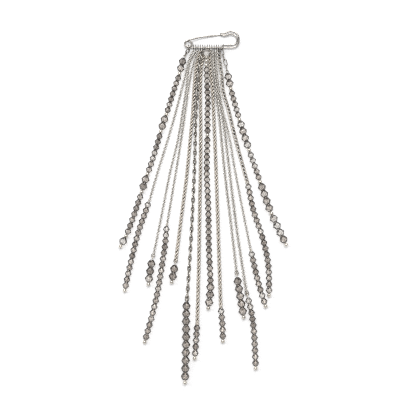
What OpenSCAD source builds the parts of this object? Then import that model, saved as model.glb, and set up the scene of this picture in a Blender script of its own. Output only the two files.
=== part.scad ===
// Safety-pin brooch with fourteen strands of chain and faceted glass beads, lying flat.
// X runs across the strands, +Y towards the pin, +Z up from the surface. Millimetres.

/* [Pin] */
// Diameter of the pin's wire
pin_wire = 1.0; // [0.8:0.1:1.2]
// Radius of the coil, at the middle of the wire
coil_r = 2.45; // [2.2:0.05:2.8]
// Distance from the coil's centre to the outside of the head
pin_reach = 35.1; // [34:0.1:38]
// Width of the head, over its outer wires
head_w = 13.6; // [13:0.1:15]
// Height of the frame's wire above the surface, at its middle
frame_z = 1.9; // [1.7:0.05:2.2]
// Gap between the coil's two turns
coil_gap = 0.2; // [0.1:0.05:0.3]
// Gap between the closed stem and the hook above it
hook_gap = 0.3; // [0.2:0.05:0.4]
// Length of the sharp taper at the stem's tip
point_l = 4; // [2:0.5:5]

/* [Rings and links] */
// Outer diameter of a ring on the bar
ring_od = 4.6; // [4.4:0.1:5]
// Wire of the rings
ring_wire = 0.55; // [0.4:0.05:0.6]
// Distance between two rings on the bar
ring_pitch = 1.57; // [1.5:0.01:1.65]
// Width of an oval link
link_w = 2.6; // [2.4:0.1:2.8]
// Wire of the oval links
link_wire = 0.6; // [0.4:0.05:0.65]
// Length of an oval link on strand 14
long_link = 5.6; // [5:0.1:6]
// Length of an oval link on strand 1
short_link = 4.2; // [4:0.1:4.6]
// Length of the jump ring at the lower end of a chain
end_link = 3.6; // [3.4:0.1:4.2]
// Wire of the jump rings
end_wire = 0.4; // [0.35:0.05:0.5]

/* [Beads] */
// Width of a small bead
small_bead = 4.0; // [3.6:0.1:4.2]
// Width of a large bead
large_bead = 5.0; // [4.6:0.1:5.2]
// Length of a bead along its hole, as a share of its width
bead_share = 0.95; // [0.85:0.01:1]
// Sides round a bead
bead_sides = 10; // [8:2:16]
// Hole through a bead
bead_hole = 1.0; // [0.9:0.05:1.2]
// Diameter of a silver spacer ball
spacer_d = 2.5; // [2.2:0.1:3]
// Width of the silver cap under the clear bead
cap_w = 3.2; // [3:0.1:3.8]
// Length of the cap
cap_l = 1.4; // [1:0.1:1.8]
// Gap between two neighbours on a short strand
slack = 0.18; // [0.1:0.01:0.2]
// Gap between two neighbours on the middle strand
middle_slack = 0.23; // [0.1:0.01:0.25]
// Gap between two neighbours on the strand with the curb chain
tight_slack = 0.16; // [0.1:0.01:0.2]
// Gap between two neighbours on the outer strands 1 and 14
long_slack = 0.32; // [0.1:0.01:0.35]

/* [Bead wires] */
// Wire that the beads are strung on
thread = 0.4; // [0.3:0.05:0.45]
// Outer diameter of the turned eye
eye_od = 2.4; // [2.2:0.1:2.5]
// Ball at the end of the wire
ball_d = 2.4; // [2:0.1:2.6]

/* [Chains] */
// Width of the rope chain
rope_w = 2.5; // [2:0.1:2.5]
// Width of the flat curb chain
curb_w = 2.5; // [2:0.1:2.5]
// Width of the long-and-short bar chain
bar_w = 1.8; // [1.6:0.1:2]
// Width of the fine cable chain
cable_w = 1.6; // [1.2:0.1:1.6]
// Width of the wider cable chain
wide_cable_w = 1.8; // [1.4:0.1:1.8]

/* [Hidden] */
$fn = 48;
// Gap between two links that hang in each other
link_gap = 0.25;
// Room that the cap keeps at each end, for the bend of the wire there
cap_room = 0.3;
// Sides round the pin's wire, a bead wire and a chain, and steps round a bend of the stem and the frame
pin_sides = 14;
stem_steps = 5;
frame_steps = 8;
thread_sides = 6;
chain_sides = 8;
// Rings along a chain's tube, and how much closer they stand near its top, where it bends more
chain_rings = 7;
crowding = 1.4;
// Steps of the smooth curve between two points of a route
steps = 6;
// Straight stretch that carries a route on past its last point
run_out = 60;

silver = "silver";
steel = "gainsboro";
smoke = "dimgray";

// The pin: its coil stands at the bar's left end, and its head opens to the right
coil = [-10.4, 111.8];
bar_y = coil.y - coil_r;
head_x = coil.x + pin_reach - pin_wire / 2;
head_y = bar_y + head_w - pin_wire;
arm_z = frame_z + pin_wire + coil_gap;
tip_z = frame_z - pin_wire - hook_gap;
// Bends at the top and bottom of the head's outer wire, then of its inner wire, and the narrow turn of
// the hook over the stem
top_bend = 0.41 * head_w;
low_bend = 0.36 * head_w;
inner_top = 0.32 * head_w;
inner_low = 0.26 * head_w;
hook_x = head_x - 12.3;
hook_y = head_y - 1.6;
hook_w = 1.2;
hook_bend = 0.5;
// Where the head's wire ends, wound round the bar, and the gap that it keeps there
wrap_x = head_x - 11;
wrap_gap = 0.1;
wrap_r = pin_wire + wrap_gap;
// How far the stem's tip reaches past the hook
past_hook = 5.1;
// Width of the stem's sharp end and of its smooth sleeve, as shares of the wire
tip_share = 0.15;
sleeve_share = 1.02;
// Bends of the stem at its bow and its knee
bow_bend = 20;
knee_bend = 12;
// Angles where the frame's turn of the coil starts and ends, and the same for the stem's turn, counted
// on from where the stem leaves it
frame_turn = [-30, 255];
stem_turns = [300, 15];
// Where the sleeve starts and ends, as shares of the way from the bow to the knee
sleeve = [0.13, 0.78];

// Rings: the first goes round both turns of the coil, the others stand side by side on the bar
ring_r = (ring_od - ring_wire) / 2;
ring_z = ring_od / 2;
ring_y = bar_y - 0.5;
beside_coil = coil_r + pin_wire / 2 + link_gap + ring_wire / 2;
function ring_x(s) = s == 1 ? coil.x : coil.x + beside_coil + (s - 2) * ring_pitch;

// Strands. A row is one strand, from the left: how high its underside starts at its ring, the kind of
// its chain, the chain's length, the number and length of the links under the ring or the chain, the
// gap between beads and the beads from the top
START = 0;
CHAIN = 1;
CHAIN_L = 2;
LINKS = 3;
LINK_L = 4;
SLACK = 5;
BEADS = 6;
STRANDS = [
    [0.4, "none", 0, 2, short_link, long_slack,
        [["large", 2], ["spacer", 1], ["small", 7], ["spacer", 1], ["large", 2], ["spacer", 1],
         ["small", 7], ["spacer", 1], ["large", 2], ["spacer", 1],
         ["small", 7], ["spacer", 1], ["large", 1]]],
    [2.4, "cable", 111, 0, 0, slack, [["small", 15]]],
    [0, "cable", 147, 1, end_link, slack, [["large", 3]]],
    [2.4, "cable", 125.5, 0, 0, slack, [["small", 19]]],
    [0, "rope", 148.5, 1, end_link, slack, [["large", 2]]],
    [2.3, "bar", 172.2, 1, end_link, slack, [["large", 10]]],
    [0, "rope", 189, 0, 0, slack, [["small", 5]]],
    [1.1, "none", 0, 0, 0, middle_slack,
        [["large", 1], ["cap", 1], ["spacer", 2], ["small", 12], ["spacer", 1], ["small", 25],
         ["large", 3]]],
    [0, "rope", 178, 0, 0, slack, [["small", 5]]],
    [2.3, "wide cable", 156.5, 1, end_link, slack, [["large", 5]]],
    [0, "wide cable", 170, 1, end_link, slack, [["small", 11]]],
    [2.4, "cable", 142.5, 0, 0, slack, [["small", 9]]],
    [0, "curb", 96.5, 0, 0, tight_slack, [["small", 19]]],
    [0.45, "none", 0, 4, long_link, long_slack,
        [["large", 2], ["spacer", 1], ["small", 5], ["spacer", 1], ["large", 4], ["spacer", 1],
         ["small", 5], ["spacer", 1], ["large", 4], ["spacer", 1], ["large", 4]]]
];

// Routes of the strands below their rings: x, y and how high the strand's underside lies
ROUTES = [
    [[-13.0, 102, 0.6], [-14.5, 97.5, 0], [-16.5, 88.5, 0], [-20, 77, 0], [-24, 62, 0],
     [-27.5, 50, 0], [-32.5, 30, 0], [-38, 11.5, 0], [-42, -3, 0], [-48.5, -24, 0], [-53.5, -35, 0]],
    [[-10.5, 97.5, 2.0], [-12.4, 87.5, 1.5], [-14.9, 77.5, 0.3], [-18.2, 63, 0],
     [-23.5, 42, 0], [-30, 18, 0], [-36, -5.5, 0], [-41.8, -24.5, 0], [-46.7, -47.5, 0], [-49.4, -62.6, 0]],
    [[-9.6, 97.5, 0], [-11.0, 87.5, 0], [-11.6, 77.5, 0], [-13.9, 62.5, 0], [-16.6, 43, 0],
     [-21.7, 19, 0], [-26.5, -9, 0], [-30.4, -31.5, 0], [-33, -45.5, 0], [-34.5, -58, 0]],
    [[-6.6, 97.5, 2.0], [-8.8, 87.5, 1.2], [-9.9, 77.5, 0.7], [-12.3, 62.5, 0.5],
     [-14.5, 43, 0], [-20, 5, 0], [-23.6, -20, 0], [-24.5, -33, 0], [-29.3, -67, 0], [-36, -95, 0]],
    [[-4.6, 97.5, 0], [-6.0, 87.5, 0], [-6.6, 70, 0], [-8.2, 50, 0], [-10.6, 19, 0],
     [-15.1, -21, 0], [-17.7, -44.2, 0], [-19.9, -57.4, 0]],
    [[-2.8, 97.5, 2.1], [-3.8, 87.5, 1.2], [-4.4, 70, 1.0], [-5.2, 58, 0.1], [-5.5, 35, 0],
     [-7, -8, 0], [-9.1, -51.5, 0], [-10.6, -75, 0], [-10.6, -98, 0], [-11.1, -121.7, 0]],
    [[-0.9, 102, 0], [-1.4, 97.5, 0], [-1.7, 87.5, 0], [-2.1, 70, 0], [-1.8, 34, 0], [-2.6, -22, 0],
     [-3.2, -66, 0], [-3.9, -87, 0], [-5.2, -106.7, 0]],
    [[1.9, 101.6, 2.68], [1.9, 97.5, 2.4], [2.0, 91.8, 1.5], [2.3, 85, 0.9], [2.5, 77, 0.2],
     [3.0, 68, 0], [2.6, 60, 0], [2.7, 45, 0], [2.2, 18, 0], [3.2, -8, 0], [3.6, -36, 0], [4.6, -60, 0],
     [3.2, -74.3, 0]],
    [[4.1, 97.5, 0], [5.3, 87.5, 0], [6.0, 77.5, 0], [6.4, 70, 0], [7.2, 50, 0], [8.6, 10, 0],
     [9.8, -32, 0], [11, -72, 0], [12, -85, 0], [12.2, -95.6, 0]],
    [[5.7, 97.5, 2.2], [6.9, 87.5, 2.0], [7.9, 77.5, 1.5], [8.9, 70, 1.1], [10, 62.5, 0.9],
     [11.4, 50, 0], [13.4, 23, 0], [17.4, -14, 0], [20.6, -45, 0], [21.7, -56.7, 0], [25.2, -80, 0]],
    [[7.4, 97.5, 0], [8.5, 87.5, 0], [9.6, 77.5, 0], [10.6, 70, 0], [11.8, 62.5, 0],
     [14, 50, 0], [17.6, 14, 0], [22.6, -30, 0], [27.2, -63, 0], [30, -76, 0], [31.6, -90, 0],
     [32.3, -112, 0]],
    [[8.9, 97.5, 2.3], [9.5, 87.5, 2.0], [10.4, 77.5, 1.9], [11.5, 70, 1.9],
     [12.8, 62.5, 1.8], [15.1, 52.5, 1.6], [18.2, 37, 1.0], [21.9, 12, 0], [27.2, -18, 0], [30.8, -38.5, 0],
     [34.6, -57, 0], [39.2, -73.4, 0]],
    [[11.1, 97.5, 0], [12.5, 87.5, 0], [13.1, 77.5, 0], [15.2, 70, 0], [19.4, 50, 0],
     [24.7, 27, 0], [28.8, 10, 0], [32.3, -9, 0], [38, -28, 0], [41.3, -46, 0], [41.4, -65.6, 0]],
    [[13.2, 103, 0.4], [15.1, 96, 0.2], [16, 90.5, 0], [16.9, 85.4, 0], [19.3, 74, 0],
     [25, 51, 0], [29.7, 34.5, 0], [36, 14, 0], [43, -9, 0], [49.5, -25, 0], [53.3, -33.4, 0]]
];

// Sizes of the things on a strand
function width(kind) =
    kind == "large" ? large_bead :
    kind == "small" ? small_bead :
    kind == "spacer" ? spacer_d :
    kind == "cap" ? cap_w :
    kind == "ball" ? ball_d :
    kind == "eye" ? eye_od :
    kind == "link" ? link_w :
    kind == "rope" ? rope_w :
    kind == "curb" ? curb_w :
    kind == "bar" ? bar_w :
    kind == "wide cable" ? wide_cable_w :
    kind == "cable" ? cable_w : 0;
function length(kind) =
    kind == "large" || kind == "small" ? bead_share * width(kind) :
    kind == "cap" ? cap_l + 2 * cap_room : width(kind);

function sum(list, n) = n == 0 ? 0 : list[n - 1] + sum(list, n - 1);
function unit(v) = v / norm(v);
function strand(s) = STRANDS[s - 1];
function bare(s) = strand(s)[CHAIN] == "none";
function repeat(kind, n) = n == 0 ? [] : [for (i = [1 : n]) kind];
function things(s) = concat(
    repeat("link", strand(s)[LINKS]),
    ["eye"],
    [for (row = strand(s)[BEADS]) each repeat(row[0], row[1])],
    ["ball"]
);
function has_spacers(s) = len([for (kind = things(s)) if (kind == "spacer") 1]) > 0;

// Height of the wire in a thing on a strand: small pieces hang as high as the beads beside them
function wire_height(kind) =
    kind == "large" || kind == "cap" ? large_bead / 2 :
    kind == "small" || kind == "spacer" ? small_bead / 2 : 0;
function top_height(s) = wire_height(strand(s)[BEADS][0][0]);
function chain_r(s) = width(strand(s)[CHAIN]) / 2;

// A strand starts in the wire of its ring, or just under the ring with the end of its chain
function start(s) = let (rise = strand(s)[START] + (bare(s) ? top_height(s) : chain_r(s)) - ring_z)
    [ring_x(s), ring_y - (bare(s) ? sqrt(ring_r ^ 2 - rise ^ 2) : ring_od / 2 + link_gap), strand(s)[START]];

// Smooth curve through a route's points, and the distance travelled along it
function between(a, b, c, d, t) =
    (2 * b + (c - a) * t + (2 * a - 5 * b + 4 * c - d) * t ^ 2 + (3 * b - a - 3 * c + d) * t ^ 3) / 2;
function smooth(route) = let (last = len(route) - 1) concat(
    [for (i = [0 : last - 1]) for (k = [0 : steps - 1])
        between(route[max(i - 1, 0)], route[i], route[i + 1], route[min(i + 2, last)], k / steps)],
    [route[last], route[last] + run_out * unit(route[last] - route[last - 1])]
);
function travelled(points) = [
    for (i = 0, s = 0; i < len(points); s = s + (i < len(points) - 1 ? norm(points[i + 1] - points[i]) : 0),
        i = i + 1) s
];
function track(s) = let (points = smooth(concat([start(s)], ROUTES[s - 1])), run = travelled(points))
    [for (axis = [0 : 2]) [for (i = [0 : len(points) - 1]) [run[i], points[i][axis]]]];
function at(track, along) =
    [lookup(along, track[0]), lookup(along, track[1]), max(0, lookup(along, track[2]))];

// Distance from the middle of one thing to the next: links and eyes hang in each other, beads stand apart
function wire_of_link(s) = bare(s) ? link_wire : end_wire;
function inner_half(s, kind) =
    kind == "link" ? strand(s)[LINK_L] / 2 - wire_of_link(s) : eye_od / 2 - thread;
function apart(s, a, b) = a == "link" ?
    inner_half(s, a) + inner_half(s, b) - link_gap :
    (length(a) + length(b)) / 2 + strand(s)[SLACK];
function first_place(s) = let (kind = things(s)[0]) bare(s) ?
    inner_half(s, kind) - link_gap - ring_wire / 2 :
    strand(s)[CHAIN_L] + link_gap + (kind == "link" ? strand(s)[LINK_L] : eye_od) / 2;
function places(s) = let (kinds = things(s), gaps = [
    for (i = [1 : len(kinds) - 1]) apart(s, kinds[i - 1], kinds[i])
]) [for (i = [0 : len(kinds) - 1]) first_place(s) + sum(gaps, i)];

// Where the wire passes between two things on a strand, as high as the middle of the bigger bead
function knots(s) = let (kinds = things(s), stops = places(s), path = track(s)) [
    for (i = [0 : len(kinds) - 2]) let (
        foot = at(path, (stops[i] + length(kinds[i]) / 2 + stops[i + 1] - length(kinds[i + 1]) / 2) / 2)
    ) [foot.x, foot.y, foot.z + max(wire_height(kinds[i]), wire_height(kinds[i + 1]))]
];
// Middles of the things on a strand: links and the eye at their own places, beads between two knots,
// and the ball straight on from the last bead
function middles(s) = let (
    k = knots(s), last = len(k), path = track(s), stops = places(s), eye = strand(s)[LINKS]
) [for (i = [0 : last])
    i <= eye ? at(path, stops[i]) +
        [0, 0, i == eye || bare(s) ? top_height(s) : 0.62 * top_height(s) + 0.38 * chain_r(s)] :
    i == last ? k[last - 1] + (ball_d + strand(s)[SLACK]) / 2 * unit(k[last - 1] - k[last - 2]) :
    (k[i - 1] + k[i]) / 2
];

function heading(points, i) =
    unit(points[min(i + 1, len(points) - 1)] - points[max(i - 1, 0)]);

// Turns what is drawn along +X to a direction, with its own +Z as far up as it can be
module along(direction, place) {
    x = unit(direction);
    y = unit(cross([0, 0, 1], x));
    z = cross(x, y);
    multmatrix([
        [x.x, y.x, z.x, place.x],
        [x.y, y.y, z.y, place.y],
        [x.z, y.z, z.z, place.z]
    ]) children();
}

// Points along a wire bent along corners, with some steps round each bend; the last column of a corner
// is the radius of its bend
function bent(corners, steps) = let (
    last = len(corners) - 1,
    point = [for (c = corners) [c[0], c[1], c[2]]],
    leg = [for (i = [0 : last - 1]) unit(point[i + 1] - point[i])]
) concat([point[0]], [for (i = [1 : last - 1])
    let (turn = acos(leg[i - 1] * leg[i]), trim = corners[i][3] * tan(turn / 2),
        out = cross(leg[i - 1], unit(cross(leg[i - 1], leg[i]))),
        middle = point[i] - trim * leg[i - 1] - corners[i][3] * out)
    for (k = [0 : steps]) let (a = turn * k / steps)
        middle + corners[i][3] * (cos(a) * out + sin(a) * leg[i - 1])
], [point[last]]);

// Closed skin round a line of points, with a ring of corners at each. The first ring is turned to side,
// and each next ring turns as little as it can.
module swept(points, radii, sides, side) {
    last = len(points) - 1;
    headings = [for (i = [0 : last]) heading(points, i)];
    across = [for (i = 0, y = unit(side - (side * headings[0]) * headings[0]); i <= last; i = i + 1,
        y = i > last ? y : unit(y - (y * headings[i]) * headings[i])) y];
    corners = [for (i = [0 : last]) let (y = across[i], z = cross(headings[i], y))
        for (k = [0 : sides - 1]) let (a = 360 * k / sides)
            points[i] + (is_list(radii) ? radii[i] : radii) * (cos(a) * y + sin(a) * z)];
    polyhedron(corners, concat(
        [[for (k = [0 : sides - 1]) k]],
        [for (i = [0 : last - 1]) for (k = [0 : sides - 1]) let (n = (k + 1) % sides)
            each [[i * sides + k, (i + 1) * sides + k, (i + 1) * sides + n],
                  [i * sides + k, (i + 1) * sides + n, i * sides + n]]],
        [[for (k = [0 : sides - 1]) (last + 1) * sides - 1 - k]]
    ));
}

// Oval link of round wire, long way along X
module oval_link(l, w, wire) {
    r = (w - wire) / 2;
    for (side = [-1, 1]) {
        translate([side * (l - w) / 2, 0]) rotate(-90 * side) rotate_extrude(angle = 180)
            translate([r, 0]) circle(d = wire);
        translate([0, side * r]) rotate([0, 90, 0]) cylinder(h = l - w, d = wire, center = true);
    }
}

// Faceted bead with its hole along X: flat faces in three bands, cut by one outline turned about the hole
module bead(d) {
    flat = d / 2 * cos(180 / bead_sides);
    h = bead_share * d / 2;
    outline = [[-h, -0.26 * d], [-h, 0.26 * d], [-0.17 * d, flat], [0.17 * d, flat],
               [h, 0.26 * d], [h, -0.26 * d], [0.17 * d, -flat], [-0.17 * d, -flat]];
    difference() {
        intersection_for (k = [0 : bead_sides / 2 - 1])
            rotate([360 * k / bead_sides, 0, 0]) linear_extrude(1.2 * d, center = true) polygon(outline);
        rotate([0, 90, 0]) cylinder(h = 1.2 * d, d = bead_hole, center = true);
    }
}

// Points round a turn of the coil, from one angle to another
function coil_turn(first, last, z) = let (steps = ceil(abs(last - first) / 18))
    [for (k = [0 : steps]) let (a = first + (last - first) * k / steps)
        [coil.x + coil_r * cos(a), coil.y + coil_r * sin(a), z]];

// One wire: the coil's lower turn, the bar, the head and a last turn over and round the bar
module pin_frame() {
    turn = coil_turn(frame_turn[0], frame_turn[1], frame_z);
    wrap = [for (a = [60 : 20 : 340]) [wrap_x, bar_y + wrap_r * cos(a), frame_z + wrap_r * sin(a)]];
    points = concat(turn, bent(frame_corners(), frame_steps), wrap);
    color(steel) swept(points, pin_wire / 2, pin_sides, [0, 0, 1]);
}

// The head is one doubled wire: out along the bar, round to the hook and back inside to the bar
function frame_corners() = let (z = frame_z, inner_x = head_x - pin_wire - 0.15) [
    [coil.x, bar_y, z, 0],
    [head_x, bar_y, z, low_bend],
    [head_x, head_y, z, top_bend],
    [head_x - 6.8, head_y, z, 2],
    [head_x - 9.6, hook_y, z, 2],
    [hook_x, hook_y, z, hook_bend],
    [hook_x, hook_y - hook_w, z, hook_bend],
    [head_x - 9.8, hook_y - 1.7 * hook_w, z, 2.5],
    [head_x - 6.6, head_y - 2.2, z, 2],
    [inner_x, head_y - 2.2, z, inner_top],
    [inner_x, bar_y + 1.95, z, inner_low],
    [wrap_x, bar_y + 1.95, z, 0.9],
    [wrap_x, bar_y + 1.2 * wrap_r, z + 0.4 * wrap_r, 0]
];

// The stem leaves the coil's upper turn, comes down with a slight bow and ends under the hook
function stem_end() = [hook_x + past_hook, hook_y - hook_w / 2 + 0.2, tip_z];
function stem_knee() = [hook_x - 1.2, stem_end().y - 0.2, tip_z];
function stem_bow() = let (d = [stem_knee().x - coil.x, stem_knee().y - coil.y])
    [coil.x + 0.38 * d.x, coil.y + 0.38 * d.y + 2.4, arm_z + 0.42 * (tip_z - arm_z)];
function stem_turn() = let (b = stem_bow(), d = [b.x - coil.x, b.y - coil.y])
    atan2(d.y, d.x) + acos(coil_r / norm(d));
function stem_start() = [coil.x + coil_r * cos(stem_turn()), coil.y + coil_r * sin(stem_turn()), arm_z];

// The arm is one wire too: the coil's upper turn, the stem and its taper. A smooth sleeve a hair thicker
// than the wire covers the straight stretch that goes through the cloth.
module pin_arm() {
    last = stem_turn();
    bow = stem_bow();
    knee = stem_knee();
    shaft_end = stem_end() - point_l * unit(stem_end() - knee);
    corners = [[each stem_start(), 0], [each bow, bow_bend], [each knee, knee_bend], [each shaft_end, 0]];
    turn = coil_turn(last + stem_turns[0], last + stem_turns[1], arm_z);
    points = concat(turn, bent(corners, stem_steps), [stem_end()]);
    radii = [for (i = [1 : len(points)]) pin_wire / 2 * (i == len(points) ? tip_share : 1)];
    color(steel) {
        swept(points, radii, pin_sides, [0, 0, 1]);
        along(knee - bow, bow + sleeve[0] * (knee - bow)) rotate([0, 90, 0])
            cylinder(h = (sleeve[1] - sleeve[0]) * norm(knee - bow), d = sleeve_share * pin_wire);
    }
}

module hang_rings() {
    color(silver) for (s = [1 : 14])
        translate([ring_x(s), ring_y, ring_z]) rotate([0, 90, 0])
            rotate_extrude() translate([ring_r, 0]) circle(d = ring_wire);
}

// Oval links of a strand, each a quarter turn from the next, and the last across the eye below it
module links(s) {
    m = middles(s);
    count = strand(s)[LINKS];
    above = at(track(s), strand(s)[CHAIN_L]) + [0, 0, bare(s) ? top_height(s) : chain_r(s)];
    for (i = [0 : count - 1])
        along(m[i + 1] - (i == 0 ? above : m[i - 1]), m[i])
            rotate([bare(s) && (count - i) % 2 == 1 ? 90 : 0, 0, 0])
                oval_link(strand(s)[LINK_L], link_w, wire_of_link(s));
}

module top_links() color(silver) for (s = [1, 14]) links(s);

module end_links() color(silver) for (s = [3, 5, 6, 10, 11]) links(s);

module bead_cap() {
    s = 8;
    i = search(["cap"], things(s))[0];
    k = knots(s);
    color(silver) along(k[i] - k[i - 1], middles(s)[i]) rotate([0, 90, 0]) difference() {
        cylinder(h = cap_l, d1 = cap_w, d2 = 0.6 * cap_w, center = true);
        cylinder(h = 2 * cap_l, d = bead_hole, center = true);
    }
}

// Wire of a strand: a turned eye, a straight run through the beads and a ball that holds them.
// The eye lies flat where a standing link or a ring holds it, and stands in a flat link or under a chain.
module wire(s) {
    m = middles(s);
    k = knots(s);
    first = strand(s)[LINKS];
    away = unit(k[first] - m[first]);
    across = bare(s) ? [0, 0, 1] : [1, 0, 0];
    up = cross(away, unit(across - (across * away) * away));
    r = (eye_od - thread) / 2;
    open = 24;
    turns = 11;
    eye = [for (i = [0 : turns]) let (a = 180 - open - i * (360 - 1.2 * open) / turns)
        m[first] - r * cos(a) * away + r * sin(a) * up];
    color(silver) {
        swept(concat(eye, [for (i = [first : len(k) - 1]) k[i]], [m[len(m) - 1]]),
            thread / 2, thread_sides, across);
        translate(m[len(m) - 1]) sphere(d = ball_d);
    }
}

// Beads or spacers of a strand, each turned a little from the next
module strung(s, spacers) {
    kinds = things(s);
    k = knots(s);
    m = middles(s);
    for (i = [1 : len(kinds) - 2])
        if (spacers ? kinds[i] == "spacer" : kinds[i] == "large" || kinds[i] == "small")
            along(k[i] - k[i - 1], m[i]) rotate([23 * i, 0, 0])
                if (spacers) difference() {
                    sphere(d = spacer_d);
                    rotate([0, 90, 0]) cylinder(h = 2 * spacer_d, d = bead_hole, center = true);
                }
                else bead(width(kinds[i]));
}

// Chain of a strand as a tube, from just under its ring to just above its eye or jump ring
module chain(s) {
    path = track(s);
    r = chain_r(s);
    stops = [for (k = [0 : chain_rings]) strand(s)[CHAIN_L] * (k / chain_rings) ^ crowding];
    swept([for (stop = stops) at(path, stop) + [0, 0, r]], r, chain_sides, [1, 0, 0]);
}

pin_frame();
pin_arm();
hang_rings();
top_links();
end_links();
bead_cap();
for (s = [1 : 14]) {
    wire(s);
    color(smoke) strung(s, false);
    color(silver) chain(s);
    color(silver) strung(s, true);
}
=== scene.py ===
# %% [markdown]
# # A lapel chain: safety pin, silver chains and smoky glass beads
# The brooch is a bent wire pin with fourteen strands on its bar. Eleven are chains that end in a few
# beads, and three are strung with beads all the way. It lies on a white table, fanned out by hand.
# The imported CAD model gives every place: the pin, rings, jump rings, wires and silver balls stay as
# they are and get a finish. The beads and chains are modelled here, along the CAD solids that they
# stand for, because their facets and links are what the eye sees first.

# %% Load the frame
import bpy
import math
import random
from collections import namedtuple
from mathutils import Matrix, Vector


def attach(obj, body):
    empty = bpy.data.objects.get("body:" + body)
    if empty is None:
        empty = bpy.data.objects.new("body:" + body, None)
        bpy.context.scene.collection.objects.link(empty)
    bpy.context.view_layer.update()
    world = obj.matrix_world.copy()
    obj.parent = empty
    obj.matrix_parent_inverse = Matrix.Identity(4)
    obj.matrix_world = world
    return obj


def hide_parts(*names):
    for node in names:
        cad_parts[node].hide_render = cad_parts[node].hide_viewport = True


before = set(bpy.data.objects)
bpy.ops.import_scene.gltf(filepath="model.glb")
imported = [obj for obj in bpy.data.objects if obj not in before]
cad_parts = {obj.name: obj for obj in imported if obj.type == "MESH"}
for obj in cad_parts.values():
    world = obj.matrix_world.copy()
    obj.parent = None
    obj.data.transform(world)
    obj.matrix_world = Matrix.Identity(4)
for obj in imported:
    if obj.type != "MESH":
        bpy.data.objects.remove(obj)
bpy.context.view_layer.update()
bpy.ops.object.select_all(action="DESELECT")
MM = 0.001

# %% [markdown]
# ## The camera
# The photo looks down on the table, about 20 degrees off the vertical, from some 70 cm away. A long
# lens at that distance keeps the strands nearly parallel, as the photo does.

# %% Place the camera
AIM = Vector((3.0, -6.9, 0.0)) * MM
FROM_VERTICAL = math.radians(20)
DISTANCE = 697 * MM
LENS = 92.9
SENSOR_WIDTH = 36
camera_data = bpy.data.cameras.new("camera")
camera_data.lens = LENS
camera_data.sensor_width = SENSOR_WIDTH
camera = bpy.data.objects.new("camera", camera_data)
camera.location = AIM + DISTANCE * Vector((0, -math.sin(FROM_VERTICAL), math.cos(FROM_VERTICAL)))
camera.rotation_euler = (FROM_VERTICAL, 0, 0)
bpy.context.scene.collection.objects.link(camera)
bpy.context.scene.camera = camera
print("camera at", [round(v, 3) for v in camera.location])

# %% [markdown]
# ## Reading the CAD
# Beads are drilled for a wire and stand loose on it, so each is a loose island of its strand's mesh.
# Islands are found by joining triangles that share a corner. The middle of an island is the bead's
# place. A CAD chain is a tube of eight rings with eight corners each, so its corners in order along
# the strand, eight at a time, give points on the chain's middle line.

# %% Helpers that read places from the CAD
GRID = 1e7
TUBE_SIDES = 8


def islands(node):
    """Corners of each loose solid of a CAD node, merged on a grid of a ten-thousandth of a millimetre."""
    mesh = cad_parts[node].data
    keys = [tuple(round(c * GRID) for c in v.co) for v in mesh.vertices]
    leader = {}

    def find(k):
        while leader[k] != k:
            leader[k] = leader[leader[k]]
            k = leader[k]
        return k

    for k in keys:
        leader.setdefault(k, k)
    for face in mesh.polygons:
        first = find(keys[face.vertices[0]])
        for v in face.vertices[1:]:
            leader[find(keys[v])] = first
    groups = {}
    for k in leader:
        groups.setdefault(find(k), []).append(Vector(k) * (1 / GRID))
    return list(groups.values())


def middle(points):
    """Middle of the box round some points."""
    low = [min(p[i] for p in points) for i in range(3)]
    high = [max(p[i] for p in points) for i in range(3)]
    return (Vector(low) + Vector(high)) / 2


def chain_line(node):
    """Middle line of a CAD chain, from its ring down to its beads."""
    corners = sorted({k for group in islands(node) for k in (tuple(p) for p in group)},
                     key=lambda p: -p[1])
    rings = [corners[i:i + TUBE_SIDES] for i in range(0, len(corners), TUBE_SIDES)]
    return [sum((Vector(p) for p in ring), Vector()) / len(ring) for ring in rings]


STRANDS = range(1, 15)
for s in STRANDS:
    if f"strand_{s}_chain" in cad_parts:
        line = chain_line(f"strand_{s}_chain")
        print("strand", s, "chain points:", len(line), "top:", [round(v / MM, 1) for v in line[0]])

# %% [markdown]
# ## Shared effects
# Two effects serve several finishes. "Handling" is the faint cloudiness and the hairline marks of
# plated metal: it puts out a roughness and a slightly uneven tone. "Per piece" turns a number from 0
# to 1 that the corners of a mesh carry into a tone. All corners of a bead carry the same number, so no
# two neighbours look the same. The corners of a link carry how far they stick out of the chain, which
# paints shade into the chain's hollows.

# %% Node group: handling marks on metal
def new_group(name, inputs, outputs):
    group = bpy.data.node_groups.new(name, "ShaderNodeTree")
    for label, kind, value in inputs:
        group.interface.new_socket(label, in_out="INPUT", socket_type=kind).default_value = value
    for label, kind in outputs:
        group.interface.new_socket(label, in_out="OUTPUT", socket_type=kind)
    return group, group.nodes.new("NodeGroupInput"), group.nodes.new("NodeGroupOutput")


def add(tree, kind, **settings):
    node = tree.nodes.new("ShaderNode" + kind)
    for key, value in settings.items():
        setattr(node, key, value)
    return node


FLOAT, COLOR = "NodeSocketFloat", "NodeSocketColor"
CLOUD_LOW, CLOUD_HIGH = 0.35, 0.65
SCRATCH_STRETCH = (1, 9, 4)
SCRATCH_FINER = 3
handling, marks_in, marks_out = new_group(
    "handling",
    [("Scale", FLOAT, 400.0), ("Low roughness", FLOAT, 0.1), ("High roughness", FLOAT, 0.3),
     ("Light", COLOR, (1, 1, 1, 1)), ("Dull", COLOR, (0.5, 0.5, 0.5, 1))],
    [("Roughness", FLOAT), ("Color", COLOR), ("Height", FLOAT)])
place = add(handling, "TexCoord")
cloud = add(handling, "TexNoise")
cloud.inputs["Detail"].default_value = 3
scratch = add(handling, "TexNoise")
scratch.inputs["Detail"].default_value = 2
stretch = add(handling, "Mapping")
stretch.inputs["Scale"].default_value = SCRATCH_STRETCH
finer = add(handling, "Math", operation="MULTIPLY")
finer.inputs[1].default_value = SCRATCH_FINER
rough = add(handling, "MapRange")
tone = add(handling, "MixRGB")
contrast = add(handling, "MapRange")
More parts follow.
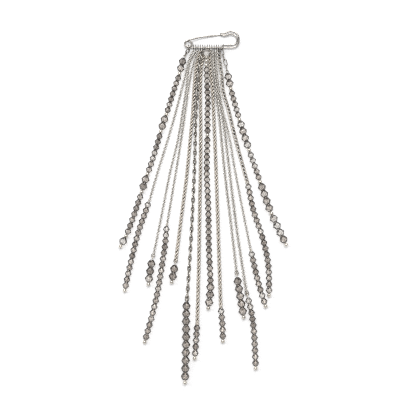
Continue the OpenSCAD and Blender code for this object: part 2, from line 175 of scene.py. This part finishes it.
contrast.inputs["From Min"].default_value = CLOUD_LOW
contrast.inputs["From Max"].default_value = CLOUD_HIGH
link = handling.links.new
link(place.outputs["Object"], cloud.inputs["Vector"])
link(marks_in.outputs["Scale"], cloud.inputs["Scale"])
link(place.outputs["Object"], stretch.inputs["Vector"])
link(stretch.outputs["Vector"], scratch.inputs["Vector"])
link(marks_in.outputs["Scale"], finer.inputs[0])
link(finer.outputs[0], scratch.inputs["Scale"])
link(cloud.outputs["Fac"], contrast.inputs["Value"])
link(contrast.outputs["Result"], rough.inputs["Value"])
link(marks_in.outputs["Low roughness"], rough.inputs["To Min"])
link(marks_in.outputs["High roughness"], rough.inputs["To Max"])
link(contrast.outputs["Result"], tone.inputs["Fac"])
link(marks_in.outputs["Light"], tone.inputs["Color1"])
link(marks_in.outputs["Dull"], tone.inputs["Color2"])
link(rough.outputs["Result"], marks_out.inputs["Roughness"])
link(tone.outputs["Color"], marks_out.inputs["Color"])
link(scratch.outputs["Fac"], marks_out.inputs["Height"])
print("group", handling.name, "with", len(handling.nodes), "nodes")

# %% Node group: a tone for each bead or corner
per_piece, piece_in, piece_out = new_group(
    "per_piece", [("Dark", COLOR, (0, 0, 0, 1)), ("Middle", COLOR, (0.5, 0.5, 0.5, 1)),
                  ("Pale", COLOR, (1, 1, 1, 1))],
    [("Color", COLOR)])
number = add(per_piece, "Attribute", attribute_name="tone")
lower = add(per_piece, "MapRange")
lower.inputs["From Max"].default_value = 0.5
upper = add(per_piece, "MapRange")
upper.inputs["From Min"].default_value = 0.5
dark_half = add(per_piece, "MixRGB")
pale_half = add(per_piece, "MixRGB")
link = per_piece.links.new
link(number.outputs["Fac"], lower.inputs["Value"])
link(number.outputs["Fac"], upper.inputs["Value"])
link(lower.outputs["Result"], dark_half.inputs["Fac"])
link(piece_in.outputs["Dark"], dark_half.inputs["Color1"])
link(piece_in.outputs["Middle"], dark_half.inputs["Color2"])
link(upper.outputs["Result"], pale_half.inputs["Fac"])
link(dark_half.outputs["Color"], pale_half.inputs["Color1"])
link(piece_in.outputs["Pale"], pale_half.inputs["Color2"])
link(pale_half.outputs["Color"], piece_out.inputs["Color"])
print("group", per_piece.name, "with", len(per_piece.nodes), "nodes")

# %% [markdown]
# ## Finishes
# The pin is nickel-plated steel wire and the chains are silver-plated: both mirror the room, and the
# plating is a little cloudy. The chain finishes run from a dark tone near the chain's middle line to a
# bright one outside: painted shade in the hollows where links shade one another.
# The beads are smoky grey glass with polished facets. Glass shows what lies behind it, bent by each
# facet, so the hearts are light. A steep facet of a real bead shows the dark room; here that is
# painted shade, as the colour falls to a dark edge where Layer Weight says that a facet turns away
# from the eye. Part of the light is scattered inside, which is the milky look of cheap cut glass. A
# real bead passes light on to the table in bright spots. That is slow to trace, so to shadow rays
# the bead is clear with a tint.

# %% Metal and glass
def new_material(name):
    material = bpy.data.materials.new(name)
    material.use_nodes = True
    tree = material.node_tree
    return material, tree, tree.nodes["Principled BSDF"]


SCRATCH_DEPTH = 0.01 * MM
SCRATCH_STRENGTH = 0.4
FINE_MARKS = 900.0


def metal(name, light, dull, low, high, scale=400.0, hollow_shade=None):
    """Cloudy plating, with painted shade in the hollows if a hollow tone is given."""
    material, tree, shader = new_material(name)
    marks = add(tree, "Group", node_tree=handling)
    marks.inputs["Scale"].default_value = scale
    marks.inputs["Low roughness"].default_value = low
    marks.inputs["High roughness"].default_value = high
    marks.inputs["Light"].default_value = light
    marks.inputs["Dull"].default_value = dull
    # A hollow tone paints shade into the middle of a chain, where its links shade one another
    if hollow_shade:
        tones = add(tree, "Group", node_tree=per_piece)
        tones.inputs["Dark"].default_value = hollow_shade
        tones.inputs["Middle"].default_value = dull
        tones.inputs["Pale"].default_value = light
        tree.links.new(tones.outputs["Color"], marks.inputs["Light"])
    height = add(tree, "Bump")
    height.inputs["Distance"].default_value = SCRATCH_DEPTH
    height.inputs["Strength"].default_value = SCRATCH_STRENGTH
    shader.inputs["Metallic"].default_value = 1
    tree.links.new(marks.outputs["Color"], shader.inputs["Base Color"])
    tree.links.new(marks.outputs["Roughness"], shader.inputs["Roughness"])
    tree.links.new(marks.outputs["Height"], height.inputs["Height"])
    tree.links.new(height.outputs["Normal"], shader.inputs["Normal"])
    return material


GLASS_IOR = 1.52
GLASS_ROUGHNESS = 0.03
# Where Layer Weight's facing starts and completes the painted shade at a bead's edge, and the colour of
# that shade
RIM_START, RIM_FULL = 0.16, 0.34
PAINTED_EDGE_SHADE = (0.05, 0.044, 0.04, 1)
SHADOW_TINT = (0.8, 0.79, 0.78, 1)


def glass(name, dark, middle_tone, pale, edge_shade=PAINTED_EDGE_SHADE, body=0.3):
    """Cut glass with a light heart and painted shade at its edge; body is the share that scatters light.
    """
    material, tree, shader = new_material(name)
    tones = add(tree, "Group", node_tree=per_piece)
    tones.inputs["Dark"].default_value = dark
    tones.inputs["Middle"].default_value = middle_tone
    tones.inputs["Pale"].default_value = pale
    shader.inputs["Transmission Weight"].default_value = 1 - body
    shader.inputs["Roughness"].default_value = GLASS_ROUGHNESS
    shader.inputs["IOR"].default_value = GLASS_IOR
    # Painted shade: the base colour falls to the edge colour where a facet turns away from the eye
    facing = add(tree, "LayerWeight")
    facing.inputs["Blend"].default_value = 0.5
    slope = add(tree, "MapRange")
    slope.inputs["From Min"].default_value = RIM_START
    slope.inputs["From Max"].default_value = RIM_FULL
    painted_rim = add(tree, "MixRGB")
    painted_rim.inputs["Color2"].default_value = edge_shade
    tree.links.new(facing.outputs["Facing"], slope.inputs["Value"])
    tree.links.new(slope.outputs["Result"], painted_rim.inputs["Fac"])
    tree.links.new(tones.outputs["Color"], painted_rim.inputs["Color1"])
    tree.links.new(painted_rim.outputs["Color"], shader.inputs["Base Color"])
    rays = add(tree, "LightPath")
    through = add(tree, "BsdfTransparent")
    through.inputs["Color"].default_value = SHADOW_TINT
    either = add(tree, "MixShader")
    tree.links.new(rays.outputs["Is Shadow Ray"], either.inputs["Fac"])
    tree.links.new(shader.outputs["BSDF"], either.inputs[1])
    tree.links.new(through.outputs["BSDF"], either.inputs[2])
    tree.links.new(either.outputs["Shader"], tree.nodes["Material Output"].inputs["Surface"])
    return material


pin_steel = metal("pin_steel", (0.50, 0.475, 0.44, 1), (0.38, 0.355, 0.325, 1), 0.2, 0.38)
link_silver = metal("link_silver", (0.42, 0.395, 0.36, 1), (0.28, 0.26, 0.235, 1), 0.12, 0.3)
ball_silver = metal("ball_silver", (0.88, 0.83, 0.75, 1), (0.68, 0.635, 0.56, 1), 0.3, 0.45)
# The chain finishes below take a dark tone that paints shade near each chain's middle line
rope_silver = metal("rope_silver", (0.86, 0.81, 0.74, 1), (0.74, 0.69, 0.62, 1), 0.38, 0.5, FINE_MARKS,
                    hollow_shade=(0.03, 0.026, 0.022, 1))
cable_silver = metal("cable_silver", (0.76, 0.73, 0.68, 1), (0.71, 0.68, 0.63, 1), 0.3, 0.45, FINE_MARKS,
                     hollow_shade=(0.12, 0.11, 0.10, 1))
dark_silver = metal("dark_silver", (0.30, 0.275, 0.24, 1), (0.18, 0.165, 0.145, 1), 0.3, 0.45, FINE_MARKS,
                    hollow_shade=(0.06, 0.053, 0.045, 1))
smoky_glass = glass("smoky_glass", (0.46, 0.42, 0.385, 1), (0.80, 0.75, 0.70, 1), (0.96, 0.94, 0.91, 1))
crystal = glass("crystal", (0.5, 0.48, 0.46, 1), (0.7, 0.68, 0.65, 1), (0.86, 0.84, 0.81, 1),
                edge_shade=(0.3, 0.28, 0.26, 1), body=0.6)
print("finishes:", [m.name for m in bpy.data.materials])

# %% [markdown]
# ## What stays as the CAD made it
# The pin, its rings, the jump rings, the bead wires and the silver balls are round wire and round
# balls in the CAD already. They only need their finish, on each object's own material slots. The wires
# end in turned balls and are bright, like the balls between the beads. Rings and links are darker.

# %% Give the CAD nodes their finish
def finish_node(name, material):
    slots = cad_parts[name].material_slots
    if not slots:
        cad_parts[name].data.materials.append(material)
    for entry in slots:
        entry.material = material


NODE_FINISH = {"pin_frame": pin_steel, "pin_arm": pin_steel, "hang_rings": link_silver,
               "top_links": link_silver, "end_links": link_silver}
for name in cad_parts:
    finish_node(name, NODE_FINISH.get(name, ball_silver))
print("nodes with a finish of their own:", len(NODE_FINISH), "of", len(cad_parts))

# %% [markdown]
# ## One faceted bead
# A cut glass bead has rows of small flat facets between two flat ends with the hole. A sphere with
# few segments is near it. Its poles are cut away, every other ring is turned half a step, and the
# four-sided faces are split along the short way, so that rows of triangles interlock as the cutter's
# do. The ring at the equator is drawn out, since the real beads are wider than long and an eight-sided
# ring loses width between its corners. The open ends are widened, drawn in to the hole's width and
# bridged through the bead, so it is drilled.

# %% Helpers for edit mode
def pick(piece, kind, test):
    """In edit mode, selects the vertices, edges or faces that pass a test."""
    bpy.ops.mesh.select_mode(type=kind)
    bpy.ops.mesh.select_all(action="DESELECT")
    bpy.ops.object.mode_set(mode="OBJECT")
    mesh = piece.data
    items = {"VERT": mesh.vertices, "EDGE": mesh.edges, "FACE": mesh.polygons}[kind]
    count = 0
    for item in items:
        item.select = test(item)
        count += item.select
    bpy.ops.object.mode_set(mode="EDIT")
    return count


BEAD_SEGMENTS = 8
BEAD_RINGS = 6
HOLE_R = 0.5 * MM
SHOULDER = 0.97
EQUATOR = 1.12
END_RING = 1.2
END_BULGE = 1.04
LENGTHEN = 1.05


def widen(sideways, along=1):
    """Scales what is selected about the bead's middle, across the hole and along it."""
    bpy.ops.transform.resize(value=(sideways, sideways, along), center_override=(0, 0, 0))


def make_bead(name, width):
    """A drilled, faceted bead with its hole along Z, and its middle at the origin."""
    r = width / 2
    end_r = END_RING * 0.5 * r
    bpy.ops.mesh.primitive_uv_sphere_add(segments=BEAD_SEGMENTS, ring_count=BEAD_RINGS, radius=r)
    bead = bpy.context.object
    bead.name = name
    bpy.ops.object.mode_set(mode="EDIT")
    pick(bead, "VERT", lambda v: abs(v.co.z) > 0.95 * r)
    bpy.ops.mesh.delete(type="VERT")
    for level in (0.5 * r, -0.5 * r):
        pick(bead, "VERT", lambda v: abs(v.co.z - level) < 0.1 * r)
        bpy.ops.transform.rotate(value=math.pi / BEAD_SEGMENTS, orient_axis="Z", center_override=(0, 0, 0))
        widen(SHOULDER)
    pick(bead, "VERT", lambda v: abs(v.co.z) < 0.1 * r)
    widen(EQUATOR)
    for side in (1, -1):
        pick(bead, "VERT", lambda v: v.co.z * side > 0.8 * r)
        widen(END_RING)
        bpy.ops.mesh.extrude_region_move()
        widen(HOLE_R / end_r, END_BULGE)
    pick(bead, "VERT", lambda v: math.hypot(v.co.x, v.co.y) < 1.05 * HOLE_R)
    bpy.ops.mesh.select_mode(type="EDGE")
    bpy.ops.mesh.bridge_edge_loops()
    pick(bead, "FACE", lambda f: math.hypot(f.center.x, f.center.y) > end_r)
    bpy.ops.mesh.quads_convert_to_tris(quad_method="SHORTEST_DIAGONAL")
    bpy.ops.mesh.select_all(action="SELECT")
    bpy.ops.mesh.normals_make_consistent(inside=False)
    widen(1, LENGTHEN)
    bpy.ops.object.mode_set(mode="OBJECT")
    bpy.ops.object.shade_flat()
    print(name, "faces:", len(bead.data.polygons))
    return bead


SMALL_WIDTH, LARGE_WIDTH = 4.0 * MM, 5.0 * MM
small_bead = make_bead("small_bead", SMALL_WIDTH)
large_bead = make_bead("large_bead", LARGE_WIDTH)

# %% [markdown]
# ## Stringing
# Each copy gets its own mesh and its own numbers for the tone, and is moved to its place by a matrix.
# Then all copies of a strand are joined, and their places are applied to the mesh. A bead's size is
# read from its CAD solid. Strand 8 starts with a clear crystal bead, which is a piece by itself.

# %% Helpers that place copies
def aimed(at, along, turn):
    """A place with local Z along a direction, turned about it."""
    z = along.normalized()
    x = Vector((0, 0, 1)).cross(z).normalized()
    matrix = Matrix((x, z.cross(x), z)).transposed().to_4x4()
    return Matrix.Translation(at) @ matrix @ Matrix.Rotation(turn, 4, "Z")


def place_copy(model, matrix, tone):
    """A copy of a model at a place, with one tone for all its corners or a list of them."""
    copy = model.copy()
    copy.data = model.data.copy()
    copy.matrix_world = matrix
    numbers = copy.data.attributes.new("tone", "FLOAT", "POINT")
    numbers.data.foreach_set("value", tone if isinstance(tone, list) else [tone] * len(copy.data.vertices))
    bpy.context.scene.collection.objects.link(copy)
    return copy


def join_copies(copies, name, material):
    """One piece from many copies, with its place in its mesh, riding on the brooch."""
    bpy.ops.object.select_all(action="DESELECT")
    for copy in copies:
        copy.select_set(True)
    bpy.context.view_layer.objects.active = copies[0]
    if len(copies) > 1:
        bpy.ops.object.join()
    piece = bpy.context.object
    piece.name = name
    bpy.ops.object.transform_apply(location=True, rotation=True, scale=True)
    piece.data.materials.clear()
    piece.data.materials.append(material)
    bpy.ops.object.select_all(action="DESELECT")
    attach(piece, "brooch")
    return piece


# %% Beads of all strands
# Range of tones of a strand, from 0 for the darkest smoke to 1 for nearly clear
SMOKE = (0.0, 0.75)
STRAND_SMOKE = {6: (0.0, 0.3), 14: (0.3, 1.0)}
# Beads that are nearly clear in the photo, counted from the top of each strand
CLEAR = {1: [27], 2: [0], 4: [0, 1], 8: [0], 9: [0], 11: [0, 1], 12: [0, 7], 13: [0, 8], 14: [10, 21]}
# Farthest corner from the middle: about 2.2 mm on a small bead and 2.7 mm on a large one
HALFWAY = 2.35 * MM
ANY_TURN = (0, 6.28)
chance = random.Random(14)
bead_total = 0
for s in STRANDS:
    node = f"strand_{s}_beads"
    found = sorted(islands(node), key=lambda points: -middle(points).y)
    places = [middle(points) for points in found]
    copies = []
    for i, at in enumerate(places):
        before, after = places[max(i - 1, 0)], places[min(i + 1, len(places) - 1)]
        reach = max((p - at).length for p in found[i])
        model = large_bead if reach > HALFWAY else small_bead
        tone = 1.0 if i in CLEAR.get(s, []) else chance.uniform(*STRAND_SMOKE.get(s, SMOKE))
        copies.append(place_copy(model, aimed(at, after - before, chance.uniform(*ANY_TURN)), tone))
    if s == 8:
        first = join_copies(copies[:1], "crystal_bead", crystal)
        copies = copies[1:]
    beads = join_copies(copies, f"beads_{s}", smoky_glass)
    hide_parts(node)
    bead_total += len(places)
print("beads:", bead_total)

# %% [markdown]
# ## Links
# Chain links are bent wire rings. A torus with few segments is drawn out to an oval in edit mode. The
# rope needs small round links, the fine chain plain ovals, and the curb chain ovals twisted by nearly
# a quarter turn, so that they lie flat in one another. The bar chain has one long heavy link between
# small thin ones. A link remembers its length and the thickness of its wire, which say how far the
# next one sits from it.

# %% One link of each kind
Link = namedtuple("Link", "model length wire")


def make_link(name, length, width, wire, segments=10, sides=5, twist=0):
    """An oval link along Z, flat in the YZ plane."""
    ring = (width - wire) / 2
    bpy.ops.mesh.primitive_torus_add(major_segments=segments, minor_segments=sides, major_radius=ring,
                                     minor_radius=wire / 2, rotation=(0, math.pi / 2, 0))
    model = bpy.context.object
    model.name = name
    bpy.ops.object.transform_apply(location=False, rotation=True, scale=False)
    bpy.ops.object.mode_set(mode="EDIT")
    for side in (1, -1):
        pick(model, "VERT", lambda v: v.co.z * side > 0.02 * ring)
        bpy.ops.transform.translate(value=(0, 0, side * (length - width) / 2))
    bpy.ops.object.mode_set(mode="OBJECT")
    if twist:
        bend = model.modifiers.new("twist", "SIMPLE_DEFORM")
        bend.deform_method = "TWIST"
        bend.deform_axis = "Z"
        bend.angle = twist
        bpy.ops.object.modifier_apply(modifier=bend.name)
    bpy.ops.object.shade_smooth()
    print(name, "faces:", len(model.data.polygons))
    return Link(model, length, wire)


rope_link = make_link("rope_link", 1.3 * MM, 1.3 * MM, 0.46 * MM, 8)
LINKS = {"cable": make_link("cable_link", 2.2 * MM, 2.1 * MM, 0.46 * MM),
         "wide cable": make_link("wide_cable_link", 2.25 * MM, 2.5 * MM, 0.5 * MM)}
curb_link = make_link("curb_link", 4.1 * MM, 2.6 * MM, 0.8 * MM, 12, twist=math.radians(80))
LINKS["bar"] = make_link("bar_link", 4.1 * MM, 2.4 * MM, 0.9 * MM, 12)
LINKS["thin"] = make_link("thin_link", 2.7 * MM, 2.3 * MM, 0.6 * MM)

# %% [markdown]
# ## Laying the chains
# A smooth curve runs through the points read from the CAD chain. It is a little longer at each end
# than the CAD tube, so that the first link hangs in its ring and the last holds the eye below it.
# Links are set along this curve, each hooked into the one before, and turned about it. The steps are
# then stretched or squeezed a little, so that a whole number of links fills the curve.

# %% Helper: a smooth line to lay links along
STEPS_PER_SPAN = 24


class Line:
    """Smooth curve through points, with the distance along it."""

    def __init__(self, points, reach):
        first = points[0] + reach * (points[0] - points[1]).normalized()
        last = points[-1] + reach * (points[-1] - points[-2]).normalized()
        p = [first, *points, last]
        self.at = []
        for i in range(len(p) - 1):
            a, b, c, d = p[max(i - 1, 0)], p[i], p[i + 1], p[min(i + 2, len(p) - 1)]
            for k in range(STEPS_PER_SPAN):
                t = k / STEPS_PER_SPAN
                self.at.append((2 * b + (c - a) * t + (2 * a - 5 * b + 4 * c - d) * t ** 2
                                + (3 * b - a - 3 * c + d) * t ** 3) / 2)
        self.at.append(last)
        self.run = [0.0]
        for a, b in zip(self.at, self.at[1:]):
            self.run.append(self.run[-1] + (b - a).length)
        self.length = self.run[-1]

    def place(self, distance):
        """The point at a distance along the curve, and the way the curve runs there."""
        distance = min(max(distance, 0), self.length - 1e-9)
        low, high = 0, len(self.run) - 1
        while high - low > 1:
            half = (low + high) // 2
            low, high = (half, high) if self.run[half] <= distance else (low, half)
        share = (distance - self.run[low]) / max(self.run[high] - self.run[low], 1e-12)
        return self.at[low].lerp(self.at[high], share), (self.at[high] - self.at[low]).normalized()


def hollow_shade_tones(link, matrix, inner, outer):
    """A tone for each corner of a link, from 0 within a radius to 1 beyond another; 0 gives painted shade.
    """
    spots = [matrix @ v.co for v in link.model.data.vertices]
    return [min(max((math.hypot(q.x, q.y) - inner) / (outer - inner), 0.0), 1.0) for q in spots]


REACH = 0.7 * MM
PLAY = 0.02 * MM
WOBBLE = 0.06
# Radii from a link's middle within which it is painted dark as shade, and beyond which it keeps its bright
# tone
HOOKED_SHADE_RADII = (0.3 * MM, 0.9 * MM)


def lay_hooked(line, pattern):
    """Repeats a pattern of (kind, turn), each link hooked into the next, to fill a line."""
    order, stops = [], []
    while not order or stops[-1] + LINKS[order[-1][0]].length / 2 < line.length:
        order.append(pattern[len(order) % len(pattern)])
        link, before = LINKS[order[-1][0]], LINKS[order[-2][0]] if len(order) > 1 else None
        half = link.length / 2
        stops.append(half if before is None else stops[-1] + half - link.wire
                     + before.length / 2 - before.wire - PLAY)
    squeeze = (line.length - LINKS[order[-1][0]].length / 2) / stops[-1]
    made = {}
    for (kind, turn), stop in zip(order, stops):
        at, along = line.place(stop * squeeze)
        matrix = aimed(at, along, turn + chance.uniform(-WOBBLE, WOBBLE))
        tones = hollow_shade_tones(LINKS[kind], Matrix(), *HOOKED_SHADE_RADII)
        made.setdefault(kind, []).append(place_copy(LINKS[kind].model, matrix, tones))
    return made


def hand_over(chain, node):
    """The chain stands for a CAD node."""
    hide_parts(node)
    print(chain.name, "faces:", len(chain.data.polygons))


# %% [markdown]
# A cable chain has plain links, each turned a quarter from the one before. The first link leans a
# little from upright, so that of each pair of links one is seen nearly on edge and one nearly flat.

# %% Fine cable chains
for s in (2, 3, 4, 10, 11, 12):
    kind = "wide cable" if s in (10, 11) else "cable"
    line = Line(chain_line(f"strand_{s}_chain"), REACH)
    first = chance.uniform(0.1, 0.35)
    made = lay_hooked(line, [(kind, first), (kind, first + math.pi / 2)])
    hand_over(join_copies(made[kind], f"chain_{s}", cable_silver), f"strand_{s}_chain")

# %% [markdown]
# The rope chain looks like a twisted cord: two rows of small links wind round each other, a full turn
# in five millimetres, and each link leans the way its row winds. Setting two rows of round links on a
# screw line gives that look with few faces. The groove between the rows is painted dark as shade,
# which shows as the slanted stripes that make a rope.

# %% Rope chains
ROPE_TURN = 5.2 * MM
ROPE_STEP = 0.3 * MM
ROPE_OFF = 0.62 * MM
ROPE_LEAN = math.atan2(2 * math.pi * ROPE_OFF, ROPE_TURN)
ROPE_MARGIN = 0.7 * MM
# Radii from the rope's middle line within which the links are painted dark as shade, and beyond which they
# are bright
ROPE_SHADE_RADII = (0.7 * MM, 1.05 * MM)


def lay_rope(line):
    """Two rows of links along a line, leaning the way that the rows wind."""
    copies = []
    lean = (Matrix.Translation((ROPE_OFF, 0, 0)) @ Matrix.Rotation(-ROPE_LEAN, 4, "X")
            @ Matrix.Rotation(math.pi / 2, 4, "Y"))
    tones = hollow_shade_tones(rope_link, lean, *ROPE_SHADE_RADII)
    span = line.length - 2 * ROPE_MARGIN
    count = int(span / ROPE_STEP)
    for k in range(count + 1):
        distance = ROPE_MARGIN + k * span / count
        at, along = line.place(distance)
        for row in (0, 1):
            angle = 2 * math.pi * distance / ROPE_TURN + row * math.pi
            copies.append(place_copy(rope_link.model, aimed(at, along, angle) @ lean, tones))
    return copies


for s in (5, 7, 9):
    copies = lay_rope(Line(chain_line(f"strand_{s}_chain"), REACH))
    hand_over(join_copies(copies, f"chain_{s}", rope_silver), f"strand_{s}_chain")

# %% [markdown]
# The curb chain's twisted links all lie the same way, flat on the table, each well into the next.

# %% Curb chain
CURB_STEP = 2.65 * MM
CURB_MARGIN = 1.5 * MM
# Radii from the curb link's middle within which it is painted dark as shade, and beyond which it is bright
CURB_SHADE_RADII = (0.8 * MM, 1.6 * MM)
line = Line(chain_line("strand_13_chain"), REACH)
span = line.length - 2 * CURB_MARGIN
count = round(span / CURB_STEP)
tones = hollow_shade_tones(curb_link, Matrix(), *CURB_SHADE_RADII)
copies = []
for k in range(count + 1):
    at, along = line.place(CURB_MARGIN + k * span / count)
    copies.append(place_copy(curb_link.model, aimed(at, along, math.radians(90)), tones))
hand_over(join_copies(copies, "chain_13", rope_silver), "strand_13_chain")

# %% [markdown]
# The bar chain repeats about every seven millimetres: one long heavy link that lies flat, then three
# small thin ones that lean to one side and the other. The long links are one piece and the thin ones
# another, since the long ones are darker.

# %% Bar chain
line = Line(chain_line("strand_6_chain"), REACH)
made = lay_hooked(line, [("thin", math.radians(45)), ("bar", math.radians(90)), ("thin", math.radians(45)),
                         ("thin", math.radians(135))])
hand_over(join_copies(made["bar"], "chain_6_bars", dark_silver), "strand_6_chain")
thins = join_copies(made["thin"], "chain_6_links", cable_silver)
print(thins.name, "faces:", len(thins.data.polygons))

# %% Remove the models that were copied
for model in (small_bead, large_bead, *(link.model for link in (rope_link, curb_link, *LINKS.values()))):
    bpy.data.objects.remove(model)

# %% [markdown]
# ## Table and light
# The photo is a product shot on white: soft light from all round, no hard shadow, and a darker room
# beside it that the polished metal and the edges of the beads mirror. A pale matt table takes one
# broad lamp above, a weaker one on the left and one behind, and a dim grey room. The lamps are just
# strong enough to make the table white: much more light would eat away the thin wires.

# %% Table
TABLE_SIZE = 3
TABLE_DROP = 0.05 * MM
TABLE_TONE = (0.93, 0.93, 0.93, 1)
bpy.ops.mesh.primitive_plane_add(size=TABLE_SIZE, location=(0, 0, -TABLE_DROP))
table = bpy.context.object
table.name = "table"
table_white, tree, shader = new_material("table_white")
shader.inputs["Base Color"].default_value = TABLE_TONE
shader.inputs["Roughness"].default_value = 0.9
table.data.materials.append(table_white)
print("table:", TABLE_SIZE, "m wide")

# %% Lamps and room
def lamp(name, at, size, power):
    data = bpy.data.lights.new(name, "AREA")
    data.shape = "RECTANGLE"
    data.size, data.size_y = size
    data.energy = power
    light = bpy.data.objects.new(name, data)
    light.location = at
    light.rotation_euler = (AIM - Vector(at)).to_track_quat("-Z", "Y").to_euler()
    bpy.context.scene.collection.objects.link(light)


lamp("top_lamp", (0.0, 0.1, 1.3), (1.0, 1.0), 14.5)
lamp("left_lamp", (-1.1, 0.2, 0.9), (0.5, 0.7), 3.8)
lamp("back_lamp", (0.2, 1.3, 0.8), (0.8, 0.4), 3.4)
ROOM_TONE = (0.9, 0.9, 0.92, 1)
ROOM_LIGHT = 0.3
world = bpy.data.worlds.new("room")
bpy.context.scene.world = world
world.use_nodes = True
world.node_tree.nodes["Background"].inputs["Color"].default_value = ROOM_TONE
world.node_tree.nodes["Background"].inputs["Strength"].default_value = ROOM_LIGHT
print("lamps:", len(bpy.data.lights))

# %% [markdown]
# ## How the picture is developed
# The "Standard" view keeps the white table white. A link is only two or three pixels long, and the
# denoiser would take it for noise and wipe it out, so it stays off. A narrow pixel filter keeps the
# links apart.

# %% View and filter
bpy.context.scene.view_settings.view_transform = "Standard"
bpy.context.scene.cycles.use_denoising = False
bpy.context.scene.cycles.filter_width = 1.1
print("view:", bpy.context.scene.view_settings.view_transform)

# %% [markdown]
# ## Last look

# %% Bring the scene up to date
bpy.context.view_layer.update()
